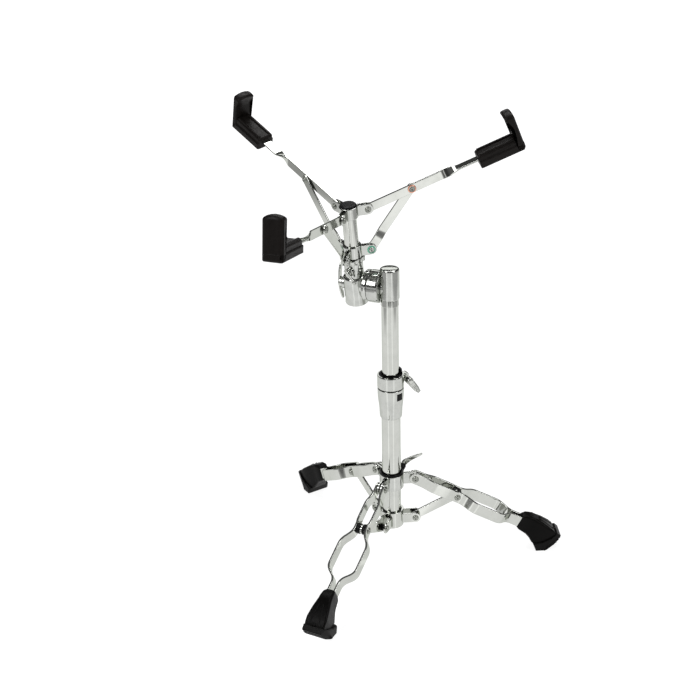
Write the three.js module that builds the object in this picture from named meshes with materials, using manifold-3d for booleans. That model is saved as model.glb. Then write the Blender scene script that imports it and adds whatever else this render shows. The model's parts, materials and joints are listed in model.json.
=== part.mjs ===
// A double-braced, height-adjustable drum basket stand, in millimetres, +Z up.
// The stand rests on three rubber feet; the basket's right arm points along +X.
import * as THREE from 'three';
import { mergeVertices } from 'three/addons/utils/BufferGeometryUtils.js';
import Module from 'manifold-3d';

const wasm = await Module();
wasm.setup();

// ---------------------------------------------------------------- driving sizes
const GAP = 0.3;                      // clearance between touching pieces
const TURN = Math.PI / 180;
const THIRD = 120 * TURN;
const LEG_NAMES = ['right', 'rear', 'front'];

const lowerTube = { radius: 12.7, bore: 11.5, bottom: 47, top: 252 };
const upperTube = { radius: 11.1, bore: 9.7, bottom: 150, top: 420 };

// Tripod: leg and brace are equal links, so they turn by equal and opposite angles.
const tripod = { yaw: 4.1 * TURN, hipRadius: 32, hipZ: 118, footZ: 57.5, link: 65 };
const legDrop = Math.asin((tripod.hipZ - tripod.footZ) / (2 * tripod.link));
const strap = { height: 16, thick: 3, end: 176 };
const ear = { inner: 5.5, outer: 8 };
const hipLug = { inner: 0.8, outer: 3.4, strapFace: 6.7 };
const pinRadius = 2.6;
const pinHole = pinRadius + GAP;
const brace = { height: 12.5, thick: 3, bushCore: 4 };
const heelAlong = 203;
const heelPad = 12;
const heelUp = (heelAlong * Math.sin(legDrop) - tripod.hipZ) / Math.cos(legDrop);

// Tilter: hinge axis runs from the basket post to the upper tube. Post heights start above it.
const tilter = { yaw: -21 * TURN, reach: 47, z: 397.5, lean: 9.5 * TURN, postDatum: 4.6 };
const cup = { radius: 15.2, bottom: -31, top: 8, neckTop: 29, neckRadius: 12.2 };
const flange = { from: 15, to: 21.2, radius: 20.8 };
const disc = { from: 21.6, to: 37, radius: 21.3, recess: 27.2 };
const tiltPin = 4;

// Basket: heights are measured up the post from its datum.
const basket = { yaw: 31.3 * TURN, top: 109.7, rivetRadius: 24, upperZ: 99.7, lowerZ: 42.7 };
const post = { radius: 9.2, bottom: 9, top: 107.2 };
const arm = {
  rise: 17.5 * TURN, mid: 60, corner: 208.3, height: 12, thick: 2.5, twistFrom: 96, twistTo: 124,
};
const hubEar = { inner: 1.6, outer: 3.6, round: 7 };
const basketPin = 2;
const cradle = { length: 60, below: 9.4, above: 9.2, upright: 43.5, wall: 9.5, half: 13 };

// ---------------------------------------------------------------- materials
function chrome() {
  return new THREE.MeshStandardMaterial({ color: 0xd6d8d4, metalness: 1, roughness: 0.12 });
}

function rubber() {
  return new THREE.MeshStandardMaterial({ color: 0x171514, metalness: 0, roughness: 0.65 });
}

function nylon() {
  return new THREE.MeshStandardMaterial({ color: 0x101011, metalness: 0, roughness: 0.45 });
}

// ---------------------------------------------------------------- solid helpers
function toSolid(geometry) {
  const bare = geometry.clone();
  bare.deleteAttribute('normal');
  bare.deleteAttribute('uv');
  const welded = mergeVertices(bare, 1e-4);
  return new wasm.Manifold(new wasm.Mesh({
    numProp: 3,
    vertProperties: new Float32Array(welded.attributes.position.array),
    triVerts: new Uint32Array(welded.index.array),
  }));
}

function toGeometry(manifold) {
  const mesh = manifold.getMesh();
  const geometry = new THREE.BufferGeometry();
  geometry.setAttribute('position', new THREE.BufferAttribute(mesh.vertProperties, 3));
  geometry.setIndex(new THREE.BufferAttribute(mesh.triVerts, 1));
  return geometry;
}

function join(...shapes) {
  return toGeometry(shapes.map(toSolid).reduce((all, next) => all.add(next)));
}

function cut(shape, ...holes) {
  return toGeometry(holes.map(toSolid).reduce((left, hole) => left.subtract(hole), toSolid(shape)));
}

function common(first, second) {
  return toGeometry(toSolid(first).intersect(toSolid(second)));
}

// ---------------------------------------------------------------- shape helpers
function points2(list) {
  return list.map(([x, y]) => new THREE.Vector2(x, y));
}

// Turns a closed [radius, height] outline about Z.
function turned(outline, sides = 20) {
  const profile = points2(outline);
  if (THREE.ShapeUtils.isClockWise(profile)) profile.reverse();
  if (profile[0].x > 0 || profile[profile.length - 1].x > 0) profile.push(profile[0].clone());
  return new THREE.LatheGeometry(profile, sides).rotateX(Math.PI / 2);
}

function ring(outer, inner, bottom, top, sides = 20) {
  return turned([[inner, bottom], [outer, bottom], [outer, top], [inner, top]], sides);
}

// A straight round bar along X, Y or Z between two stations.
function bar(axis, radius, from, to, sides = 16) {
  const geometry = new THREE.CylinderGeometry(radius, radius, to - from, sides);
  geometry.translate(0, (from + to) / 2, 0);
  if (axis === 'x') geometry.rotateZ(-Math.PI / 2);
  if (axis === 'z') geometry.rotateX(Math.PI / 2);
  return geometry;
}

function box(x0, x1, y0, y1, z0, z1) {
  const geometry = new THREE.BoxGeometry(x1 - x0, y1 - y0, z1 - z0);
  return geometry.translate((x0 + x1) / 2, (y0 + y1) / 2, (z0 + z1) / 2);
}

// Extrudes an (x, y) outline between two heights.
function slab(outline, bottom, top) {
  const shape = new THREE.Shape(points2(outline));
  const options = { depth: top - bottom, bevelEnabled: false };
  return new THREE.ExtrudeGeometry(shape, options).translate(0, 0, bottom);
}

// Extrudes an (x, z) outline sideways between two y stations.
function plate(outline, from, to) {
  const shape = new THREE.Shape(points2(outline));
  const options = { depth: to - from, bevelEnabled: false };
  return new THREE.ExtrudeGeometry(shape, options).rotateX(Math.PI / 2).translate(0, to, 0);
}

function arc(x, y, radius, start, end, steps) {
  const list = [];
  for (let i = 0; i <= steps; i += 1) {
    const angle = start + (end - start) * i / steps;
    list.push([x + radius * Math.cos(angle), y + radius * Math.sin(angle)]);
  }
  return list;
}

// A link outline with round ends at x = 0 and x = length.
function linkOutline(length, radius, steps = 5) {
  const near = arc(0, 0, radius, Math.PI / 2, Math.PI * 1.5, steps);
  const far = arc(length, 0, radius, -Math.PI / 2, Math.PI / 2, steps);
  return [...near, ...far];
}

// The outline of a bent strip of constant thickness along a centre line.
function stripOutline(line, thick) {
  const left = [];
  const right = [];
  line.forEach(([x, y], i) => {
    const before = line[Math.max(i - 1, 0)];
    const after = line[Math.min(i + 1, line.length - 1)];
    const run = new THREE.Vector2(after[0] - before[0], after[1] - before[1]).normalize();
    const side = [-run.y * thick / 2, run.x * thick / 2];
    left.push([x + side[0], y + side[1]]);
    right.unshift([x - side[0], y - side[1]]);
  });
  return [...left, ...right];
}

// Rounds every inner corner of a centre line.
function rounded(line, bend) {
  const path = new THREE.Path();
  path.moveTo(...line[0]);
  for (let i = 1; i < line.length - 1; i += 1) {
    const corner = new THREE.Vector2(...line[i]);
    const toward = (other) => {
      const away = new THREE.Vector2(...other).sub(corner);
      return corner.clone().add(away.setLength(Math.min(bend, away.length() / 2)));
    };
    const start = toward(line[i - 1]);
    const end = toward(line[i + 1]);
    path.lineTo(start.x, start.y);
    path.quadraticCurveTo(corner.x, corner.y, end.x, end.y);
  }
  path.lineTo(...line[line.length - 1]);
  return path.getPoints(2).map((point) => [point.x, point.y]);
}

// A rivet along Y: a pin with a domed head beyond each face.
function rivet(radius, face, headRadius, headHeight, sides = 8) {
  const tip = face + headHeight;
  const half = [[0, tip], [headRadius * 0.7, tip], [headRadius, face], [radius, face]];
  const mirrored = half.map(([r, h]) => [r, -h]).reverse();
  return turned([...half, ...mirrored], sides).rotateX(Math.PI / 2);
}

// ---------------------------------------------------------------- assembly helpers
const stand = new THREE.Group();

function place(parent, name, geometry, material) {
  const mesh = new THREE.Mesh(geometry, material);
  mesh.name = name;
  parent.add(mesh);
  return mesh;
}

function branch(parent, x, y, z, axis = 'z', angle = 0) {
  const group = new THREE.Group();
  group.position.set(x, y, z);
  group.rotation[axis] = angle;
  parent.add(group);
  return group;
}

// A pair of hinge ears in the XZ plane, reaching out from a collar to a pivot.
function ears(reach, z, round, inner, outer, start) {
  const outline = [[start, z - round], ...arc(reach, z, round, -Math.PI / 2, Math.PI / 2, 5),
    [start, z + round]];
  return [plate(outline, inner, outer), plate(outline, -outer, -inner)];
}

function spun(geometry, angle) {
  return geometry.clone().rotateZ(angle);
}

// Copies of a shape at the three arm or leg headings round a collar.
function threefold(geometry, yaw) {
  return [0, 1, 2].map((i) => spun(geometry, yaw + i * THIRD));
}

// A collar with three pairs of hinge ears.
function earedCollar(size) {
  const pairs = ears(size.reach, size.earZ, size.round, size.inner, size.outer, size.bore + 0.6)
    .flatMap((plateShape) => threefold(plateShape, size.yaw));
  const barrel = bar('z', size.radius, size.bottom, size.top, 20);
  const bore = bar('z', size.bore, size.bottom - 5, size.top + 5, 20);
  return cut(join(barrel, ...pairs), bore);
}

// The same collar with a pin hole through each pair of ears.
function drilledCollar(size) {
  const pin = bar('y', size.hole, -size.outer - 1, size.outer + 1, 8);
  return cut(earedCollar(size), ...threefold(pin.translate(size.reach, 0, size.earZ), size.yaw));
}

// ---------------------------------------------------------------- lower tube and its collars
function buildBase() {
  const { radius, bore, bottom, top } = lowerTube;
  place(stand, 'base_tube', ring(radius, bore, bottom, top), chrome());

  const plugStub = bore - GAP;
  const plug = turned([[0, bottom - 2.5], [radius - 1, bottom - 2.5], [radius, bottom - 1.5],
    [radius, bottom - GAP], [plugStub, bottom - GAP], [plugStub, bottom + 6], [0, bottom + 6]]);
  place(stand, 'tube_end_plug', plug, nylon());

  const collar = drilledCollar({
    yaw: tripod.yaw, reach: tripod.hipRadius, earZ: tripod.footZ, round: 7,
    inner: ear.inner, outer: ear.outer, radius: 16, bore: radius + GAP, bottom: 46.5, top: 70.5,
    hole: pinHole,
  });
  place(stand, 'lower_collar', collar, chrome());
}

// ---------------------------------------------------------------- height clamp
const clamp = { sleeveBottom: 214, seam: 257, top: 276, yaw: 25 * TURN };
const clampBolt = { radius: 2.9, reach: 22, z: 266, wingDrop: 54 * TURN };

function buildClamp() {
  const inner = lowerTube.radius + GAP;
  const sleeve = turned([[inner, clamp.sleeveBottom], [14.6, clamp.sleeveBottom], [15, 217],
    [15.6, 228], [17.2, 243], [17.5, 249], [17.5, clamp.seam], [inner, clamp.seam]]);
  place(stand, 'clamp_sleeve', sleeve, chrome());

  const ringBottom = clamp.seam + 0.4;
  const liner = turned([[upperTube.radius + 0.4, 252.4], [lowerTube.radius, 252.4],
    [lowerTube.radius, ringBottom + 0.2], [15.3, ringBottom + 0.2], [15.3, clamp.top],
    [14.8, clamp.top + 0.6], [upperTube.radius + 0.4, clamp.top + 0.6]]);
  const tab = spun(box(12.2, 14, -6, 6, clamp.top - 1, 282.5), clamp.yaw);
  place(stand, 'clamp_liner', join(liner, tab), nylon());

  const turnedBody = branch(stand, 0, 0, 0, 'z', clamp.yaw);
  const shell = ring(17.8, 15.6, ringBottom, clamp.top);
  const lugs = [1.5, -6.5].map((side) => {
    const outline = [[16.2, 259.5], [24.5, 259.5], [28, 263], [28, 269.5], [24.5, 273], [16.2, 273]];
    return plate(outline, side, side + 5);
  });
  const slit = box(14, 20, -1.5, 1.5, 250, 280);
  const { radius, reach, z } = clampBolt;
  const hole = bar('y', radius + GAP, -10, 10, 10).translate(reach, 0, z);
  place(turnedBody, 'clamp_ring', cut(join(shell, ...lugs), slit, hole), chrome());

  const bolt = join(bar('y', radius, -17, 7.5, 10), bar('y', 4.6, 6.9, 10.5, 6));
  place(turnedBody, 'clamp_bolt', bolt.translate(reach, 0, z), chrome());

  const nutGroup = branch(turnedBody, reach, 0, z, 'y', clampBolt.wingDrop);
  const hub = ring(5, radius + GAP, 6.9, 15.5, 14).rotateX(Math.PI / 2);
  const wingSide = [[2, -4.2], [8, -4.8], [19, -3.6], [23, -2], [24, 0.6], [22.5, 2.8], [15, 4.6],
    [6, 4.8], [2, 4.2]];
  const wing = plate(wingSide, -14.6, -9);
  const thread = bar('y', radius + GAP, -20, 0, 10);
  place(nutGroup, 'clamp_wing_nut', cut(join(hub, wing), thread), chrome());
}

// ---------------------------------------------------------------- sliding leg collar
const legCollar = { radius: 16.4, bore: 14.6, bottom: 106, top: 127 };
const collarScrew = { radius: 3, yaw: 55 * TURN, rise: 36 * TURN, foot: 13, z: 115.5 };

function buildLegCollar() {
  const collar = drilledCollar({
    yaw: tripod.yaw, reach: tripod.hipRadius, earZ: tripod.hipZ, round: 8,
    inner: hipLug.inner, outer: hipLug.outer, radius: legCollar.radius, bore: legCollar.bore,
    bottom: legCollar.bottom, top: legCollar.top, hole: pinHole,
  });
  const alongScrew = (geometry) => geometry.rotateY(-collarScrew.rise)
    .translate(collarScrew.foot, 0, collarScrew.z)
    .rotateZ(collarScrew.yaw);
  const boss = alongScrew(bar('x', 5.6, 2, 9.4, 12));
  const bore = bar('z', legCollar.bore, 100, 135, 20);
  const thread = alongScrew(bar('x', collarScrew.radius + GAP, -8, 20, 10));
  place(stand, 'upper_collar', cut(join(collar, boss), bore, thread), chrome());

  const inner = lowerTube.radius + 0.35;
  const outer = legCollar.bore - GAP;
  const bush = turned([[inner, 105.4], [outer, 105.4], [outer, legCollar.top + GAP],
    [15.9, legCollar.top + GAP], [15.9, 129], [15.2, 129.8], [inner, 129.8]]);
  place(stand, 'collar_bush', bush, nylon());

  const boltGroup = branch(branch(stand, 0, 0, 0, 'z', collarScrew.yaw), collarScrew.foot, 0, collarScrew.z,
    'y', -collarScrew.rise);
  const shank = bar('x', collarScrew.radius, 4.8, 14, 10);
  const grip = bar('x', 5, 10, 19, 12);
  const wingSide = [[-3, -3], [-1, 6], [2, 9], [14, 12.4], [27.5, 15], [29.5, 14], [28.6, 12], [14, 7],
    [6, 2], [3, -3]];
  const wing = plate(wingSide, -1.4, 1.4)
    .rotateZ(-37 * TURN)
    .rotateY(collarScrew.rise)
    .translate(16, 0, 0);
  place(boltGroup, 'collar_wing_bolt', join(shank, grip, wing), chrome());
}

// ---------------------------------------------------------------- legs
// Half-spacing of a leg strap's centre line along the leg, from hip to boot.
const strapLine = [[-8, 5.2], [15, 5.2], [26, 9.4], [56, 9.4], [61, 8], [74, 8], [90, 19.5], [132, 19.5],
  [145.5, 4.6], [strap.end, 4.6]];

function strapGeometry(side) {
  const line = rounded(strapLine, 5).map(([x, y]) => [x, y * side]);
  const ribbon = slab(stripOutline(line, strap.thick), -strap.height / 2, strap.height / 2);
  const round = strap.height / 2;
  const outline = [...arc(0, 0, round, Math.PI / 2, Math.PI * 1.5, 6), [strap.end, -round],
    [strap.end, round]];
  const trimmed = common(ribbon, plate(outline, -40, 40));
  const head = bar('y', 4.4, 0, 2.6, 8).translate(tripod.link, 8.6, 0);
  if (side < 0) head.rotateX(Math.PI);
  return cut(join(trimmed, head), bar('y', pinHole, -10, 10, 8));
}

// The toothed sole runs from a flat heel pad up to the toe, bulging outwards.
function soleEdge() {
  const padEnd = [heelAlong + heelPad * Math.cos(legDrop), heelUp + heelPad * Math.sin(legDrop)];
  const toe = [224.5, 8.5];
  const teeth = 6;
  const edge = [[heelAlong, heelUp], padEnd];
  const chord = new THREE.Vector2(toe[0] - padEnd[0], toe[1] - padEnd[1]);
  const out = new THREE.Vector2(chord.y, -chord.x).normalize();
  for (let i = 1; i < teeth * 2; i += 1) {
    const part = i / (teeth * 2);
    const bulge = 3.6 * Math.sin(Math.PI * part) + (i % 2 === 0 ? 0.6 : -0.6);
    edge.push([padEnd[0] + chord.x * part + out.x * bulge, padEnd[1] + chord.y * part + out.y * bulge]);
  }
  edge.push(toe);
  return edge;
}

function footGeometry() {
  const upper = plate([[163, -9.6], [168, -11.4], [178, -12.4], [185, -15], [193, -20.5],
    [206, heelUp + 4], [220, 6], [211, 11.4], [193, 14.8], [175, 15.2], [168, 13.6], [163, 10.4]], -16, 16);
  const plan = slab([[163, -6.8], [169, -8.8], [180, -9.8], [192, -12.3], [206, -14.6], [224, -14.6],
    [224, 14.6], [206, 14.6], [192, 12.3], [180, 9.8], [169, 8.8], [163, 6.8]], -40, 30);
  const width = 17.2;
  const sole = plate([...soleEdge(), [218, 10], [213, 0], [205, -10.5], [194.5, -19.6]], -width, width);
  const corners = slab([[192, -14], [198, -width], [213, -width], [226, -13], [226, 13], [213, width],
    [198, width], [192, 14]], -40, 30);
  const boot = join(common(upper, plan), common(sole, corners));
  const round = strap.height / 2 + GAP;
  const sockets = [1, -1].map((side) => {
    const y = [4.6 * side - strap.thick / 2 - GAP, 4.6 * side + strap.thick / 2 + GAP];
    return box(150, strap.end + GAP, ...y, -round, round);
  });
  return cut(boot, ...sockets);
}

function buildLegs() {
  LEG_NAMES.forEach((name, i) => {
    const heading = branch(stand, 0, 0, 0, 'z', tripod.yaw + i * THIRD);
    const leg = branch(heading, tripod.hipRadius, 0, tripod.hipZ, 'y', legDrop);
    place(leg, `leg_${name}_strap_left`, strapGeometry(1), chrome());
    place(leg, `leg_${name}_strap_right`, strapGeometry(-1), chrome());
    place(leg, `foot_${name}`, footGeometry(), rubber());
    const hip = branch(heading, tripod.hipRadius, 0, tripod.hipZ);
    place(hip, `hip_rivet_${name}`, rivet(pinRadius, hipLug.strapFace + GAP, 4.6, 1.6), chrome());
  });
}

// ---------------------------------------------------------------- braces
function bushGeometry(half, flangeRadius) {
  const near = brace.thick / 2 + GAP;
  const upper = [[pinHole, half], [flangeRadius, half], [flangeRadius, near], [brace.bushCore, near]];
  const lower = upper.map(([r, h]) => [r, -h]).reverse();
  return turned([...upper, ...lower], 10).rotateX(Math.PI / 2);
}

function buildBraces() {
  const hole = brace.bushCore + GAP;
  LEG_NAMES.forEach((name, i) => {
    const heading = branch(stand, 0, 0, 0, 'z', tripod.yaw + i * THIRD);
    const link = branch(heading, tripod.hipRadius, 0, tripod.footZ, 'y', -legDrop);
    const outline = linkOutline(tripod.link, brace.height / 2);
    const blade = cut(plate(outline, -brace.thick / 2, brace.thick / 2), bar('y', hole, -5, 5, 8),
      bar('y', hole, -5, 5, 8).translate(tripod.link, 0, 0));
    place(link, `brace_${name}`, blade, chrome());
    place(link, `brace_bush_${name}`, bushGeometry(ear.inner - GAP, 5), nylon());
    const knee = branch(link, tripod.link, 0, 0);
    place(knee, `knee_bush_${name}`, bushGeometry(6.1, 7), nylon());
    const foot = branch(heading, tripod.hipRadius, 0, tripod.footZ);
    place(foot, `brace_rivet_${name}`, rivet(pinRadius, ear.outer + GAP, 4.2, 1.5), chrome());
  });
}

// ---------------------------------------------------------------- upper tube and tilter
const hinge = branch(stand, -tilter.reach * Math.cos(tilter.yaw), -tilter.reach * Math.sin(tilter.yaw),
  tilter.z, 'z', tilter.yaw);

function buildUpperTube() {
  const { radius, bore, bottom, top } = upperTube;
  place(stand, 'upper_tube', ring(radius, bore, bottom, top), chrome());

  const low = 383 - tilter.z;
  const high = 425 - tilter.z;
  const seat = top - tilter.z + GAP;
  const socket = turned([[0, high], [11.4, high], [12.6, high - 1.4], [12.6, low + 1], [12, low],
    [radius + GAP, low], [radius + GAP, seat], [0, seat]]);
  const neck = bar('x', 11.5, disc.to + GAP, tilter.reach, 20);
  const hollow = bar('z', radius + GAP, low - 10, seat, 20).translate(tilter.reach, 0, 0);
  const head = cut(join(socket.translate(tilter.reach, 0, 0), neck), hollow);
  place(hinge, 'tilter_head', head, chrome());

  const face = turned([[tiltPin + GAP, disc.from], [disc.radius - 0.8, disc.from],
    [disc.radius, disc.from + 0.8], [disc.radius, disc.to - 2], [disc.radius - 2, disc.to], [6.8, disc.to],
    [6.8, disc.recess], [tiltPin + GAP, disc.recess]]);
  const barrel = bar('z', 12.6 + GAP, -40, 40, 20).translate(tilter.reach, 0, 0);
  place(hinge, 'tilt_disc', cut(face.rotateY(Math.PI / 2), barrel), chrome());
}

const lean = branch(hinge, 0, 0, 0, 'x', tilter.lean);
const mast = branch(lean, 0, 0, tilter.postDatum);

function buildTiltHolder() {
  const bowl = turned([[0, cup.bottom], [14.2, cup.bottom], [cup.radius, cup.bottom + 1.2],
    [cup.radius, cup.top - 1], [cup.radius - 1, cup.top], [cup.neckRadius, cup.top],
    [cup.neckRadius, cup.neckTop], [0, cup.neckTop]]);
  const level = -tilter.postDatum;
  const side = bar('x', flange.radius, flange.from, flange.to, 20).translate(0, 0, level);
  const wallBoss = bar('x', 8, -16.6, 0, 16).translate(0, 0, level);
  const innerBoss = bar('x', 12, 0, flange.to, 16).translate(0, 0, level);
  const screwBoss = bar('y', 5.5, -17, 0, 14).translate(0, 0, 20);
  const socket = bar('z', post.radius + GAP, post.bottom - GAP, 60, 20);
  const pinBore = bar('x', tiltPin + GAP, -30, 30, 12).translate(0, 0, level);
  const screwBore = bar('y', 2.9, -30, 0, 10).translate(0, 0, 20);
  const casting = cut(join(bowl, side, wallBoss, innerBoss, screwBoss), socket, pinBore, screwBore);
  place(mast, 'tilt_cup', casting, chrome());

  const headFrom = disc.recess + GAP;
  const headTo = headFrom + 6;
  const bolt = turned([[0, -21.4], [tiltPin, -21.4], [tiltPin, headFrom], [6.4, headFrom],
    [6.4, headTo], [0, headTo]], 12);
  place(hinge, 'tilt_bolt', bolt.rotateY(Math.PI / 2), chrome());

  const nut = ring(6.6, tiltPin + GAP, -22.2, -17, 12).rotateY(Math.PI / 2);
  const bow = rounded([[-17.6, -22], [-20.4, -10], [-21.4, 2], [-21, 14], [-19.6, 26]], 6);
  const blade = plate(stripOutline(bow, 2.6), -4.4, 4.4);
  const clear = bar('x', tiltPin + GAP, -40, 0, 12);
  place(hinge, 'tilt_wing_nut', cut(join(nut, blade), clear), chrome());

  const screw = branch(mast, 0, 0, 20, 'y', 55 * TURN);
  const shank = bar('y', 2.6, -22, -10, 10);
  const handle = bar('x', 2, -7, 13, 10).translate(0, -20.4, 0);
  const ball = new THREE.SphereGeometry(3, 10, 6).translate(13, -20.4, 0);
  place(screw, 'swivel_screw', join(shank, handle, ball), chrome());
}

// ---------------------------------------------------------------- basket hubs
function buildHubs() {
  place(mast, 'basket_post', bar('z', post.radius, post.bottom, post.top, 20), chrome());

  const upper = drilledCollar({
    yaw: basket.yaw, reach: basket.rivetRadius, earZ: basket.upperZ, round: hubEar.round,
    inner: hubEar.inner, outer: hubEar.outer, radius: 11.8, bore: post.radius + GAP, bottom: 91.5, top: 107,
    hole: basketPin + GAP,
  });
  place(mast, 'upper_hub', upper, chrome());

  const cap = turned([[0, post.top + GAP], [10.6, post.top + GAP], [10.6, post.top + 1.2],
    [8, basket.top], [0, basket.top]]);
  place(mast, 'post_cap', cap, nylon());

  const lower = earedCollar({
    yaw: basket.yaw, reach: basket.rivetRadius, earZ: basket.lowerZ, round: hubEar.round,
    inner: hubEar.inner, outer: hubEar.outer, radius: 12, bore: post.radius + GAP, bottom: 36.2, top: 52.5,
  });
  const headTip = hubEar.outer + 1.4;
  const headFoot = hubEar.outer - 0.4;
  const heads = [bar('y', 4, headFoot, headTip, 8), bar('y', 4, -headTip, -headFoot, 8)]
    .map((head) => head.translate(basket.rivetRadius, 0, basket.lowerZ))
    .flatMap((head) => threefold(head, basket.yaw));
  place(mast, 'lower_hub', join(lower, ...heads), chrome());

  const grip = { bottom: 29.4, top: 35.2, radius: 12.4, lobe: 3.6, lobeReach: 11.8, yaw: 20 * TURN };
  const lobe = bar('z', grip.lobe, grip.bottom, grip.top, 10).translate(grip.lobeReach, 0, 0);
  const lobes = [0, 1, 2, 3].map((i) => spun(lobe, grip.yaw + i * Math.PI / 2));
  const round = bar('z', grip.radius, grip.bottom, grip.top, 20);
  const thread = bar('z', post.radius + GAP, 20, 40, 20);
  place(mast, 'adjust_nut', cut(join(round, ...lobes), thread), chrome());
}

// ---------------------------------------------------------------- basket arms
// A strap that stands on edge at the hub and lies flat inside the cradle.
function armGeometry() {
  const end = arm.corner - cradle.wall - 3;
  const blade = new THREE.BoxGeometry(end, arm.thick, arm.height, 16, 1, 1).translate(end / 2, 0, 0);
  const vertices = blade.attributes.position;
  for (let i = 0; i < vertices.count; i += 1) {
    const part = THREE.MathUtils.smoothstep(vertices.getX(i), arm.twistFrom, arm.twistTo);
    const angle = (-Math.PI / 2) * part;
    const y = vertices.getY(i);
    const z = vertices.getZ(i);
    vertices.setY(i, y * Math.cos(angle) - z * Math.sin(angle));
    vertices.setZ(i, y * Math.sin(angle) + z * Math.cos(angle));
  }
  const nose = bar('y', arm.height / 2, -arm.thick / 2, arm.thick / 2, 12);
  const face = arm.thick / 2;
  const stud = bar('y', basketPin, 0, face + arm.thick + 2 * GAP + 0.6, 10).translate(arm.mid, 0, 0);
  const farHead = bar('y', 4.4, face + arm.thick + 2 * GAP, face + arm.thick + 2, 10)
    .translate(arm.mid, 0, 0);
  const nearHead = bar('y', 4.4, -face - 1.4, 0, 10).translate(arm.mid, 0, 0);
  const hole = bar('y', basketPin + GAP, -5, 5, 8);
  return cut(join(blade, nose, stud, farHead, nearHead), hole);
}

function cradleGeometry() {
  const { corner } = arm;
  const start = corner - cradle.length;
  const inner = corner - cradle.wall;
  const top = cradle.upright;
  const outline = [[start, -cradle.below], [corner - 3, -cradle.below], [corner, -cradle.below + 3],
    [corner - 1, top - 4], [corner - 4, top], [inner - 3, top], [inner - 4.5, top - 3],
    [inner - 2, top - 9], [inner + 1, top - 18], [inner, cradle.above + 3], [inner - 3, cradle.above],
    [start + 2, cradle.above], [start, cradle.above - 2]];
  const block = plate(outline, -cradle.half, cradle.half);
  const { half } = cradle;
  const ends = [[start, -half + 3], [start + 3, -half], [corner - 4, -half], [corner, -half + 4],
    [corner, half - 4], [corner - 4, half], [start + 3, half], [start, half - 3]];
  const shaped = common(block, slab(ends, -30, 60));
  const y = arm.height / 2 + GAP;
  const z = arm.thick / 2 + GAP;
  return cut(shaped, box(start - 5, inner - 3 + GAP, -y, y, -z, z));
}

// Distance and lean of the strut from the arm's middle rivet down to the lower hub.
const strutRun = arm.mid * Math.cos(arm.rise);
const strutDrop = basket.upperZ - basket.lowerZ + arm.mid * Math.sin(arm.rise);
const strutLength = Math.hypot(strutRun, strutDrop);
const strutLean = Math.atan2(strutRun, strutDrop);

function strutGeometry() {
  const offset = arm.thick + GAP;
  const line = rounded([[-6, offset], [strutLength - 27, offset], [strutLength - 17, 0],
    [strutLength + 6, 0]], 4);
  const ribbon = slab(stripOutline(line, arm.thick), -6, 6);
  const trimmed = common(ribbon, plate(linkOutline(strutLength, 6), -20, 20));
  return cut(trimmed, bar('y', basketPin + GAP, -10, 10, 8));
}

function buildArms() {
  LEG_NAMES.forEach((name, i) => {
    const heading = branch(mast, 0, 0, 0, 'z', basket.yaw + i * THIRD);
    const shoulder = branch(heading, basket.rivetRadius, 0, basket.upperZ, 'y', -arm.rise);
    place(shoulder, `arm_${name}`, armGeometry(), chrome());
    place(shoulder, `cradle_${name}`, cradleGeometry(), rubber());
    const elbow = branch(shoulder, arm.mid, 0, 0, 'y', arm.rise + Math.PI / 2 + strutLean);
    place(elbow, `strut_${name}`, strutGeometry(), chrome());
    const pivot = branch(heading, basket.rivetRadius, 0, basket.upperZ);
    place(pivot, `hub_rivet_${name}`, rivet(basketPin, hubEar.outer + GAP, 4, 1.4), chrome());
  });
}

buildBase();
buildClamp();
buildLegCollar();
buildLegs();
buildBraces();
buildUpperTube();
buildTiltHolder();
buildHubs();
buildArms();

// The origin is the middle of the stand's footprint, on the floor.
stand.updateMatrixWorld(true);
const extent = new THREE.Box3().setFromObject(stand, true);
const middle = extent.getCenter(new THREE.Vector3());
stand.position.set(-middle.x, -middle.y, -extent.min.z);

export default stand;
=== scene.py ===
"""Looks of a chrome drum basket stand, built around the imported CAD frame.

Shapes are written in millimetres in the local frame of the joint or tube they
belong to, and are placed from the frame's joints and boxes.
"""
import json
import math

import bmesh
import bpy
from mathutils import Matrix, Vector


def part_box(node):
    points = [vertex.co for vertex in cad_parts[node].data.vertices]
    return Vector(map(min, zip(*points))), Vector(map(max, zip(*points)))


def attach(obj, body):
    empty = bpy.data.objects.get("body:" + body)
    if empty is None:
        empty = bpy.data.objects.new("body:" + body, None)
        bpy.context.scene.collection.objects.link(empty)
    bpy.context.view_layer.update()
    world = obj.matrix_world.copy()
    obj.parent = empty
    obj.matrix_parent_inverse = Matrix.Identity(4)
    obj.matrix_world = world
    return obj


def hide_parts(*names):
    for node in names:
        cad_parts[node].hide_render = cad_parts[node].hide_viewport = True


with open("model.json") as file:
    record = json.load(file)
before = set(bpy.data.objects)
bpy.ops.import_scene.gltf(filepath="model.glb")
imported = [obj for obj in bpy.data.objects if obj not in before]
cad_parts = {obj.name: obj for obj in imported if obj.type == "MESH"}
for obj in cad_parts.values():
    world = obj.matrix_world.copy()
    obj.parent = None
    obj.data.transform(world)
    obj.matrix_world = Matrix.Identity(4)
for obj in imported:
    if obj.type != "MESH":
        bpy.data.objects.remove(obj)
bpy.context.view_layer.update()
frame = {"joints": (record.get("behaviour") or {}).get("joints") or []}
JOINTS = {j["name"]: j for j in frame["joints"]}
SIDES = ("right", "rear", "front")
MM = 0.001
TAU = 2 * math.pi

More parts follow.
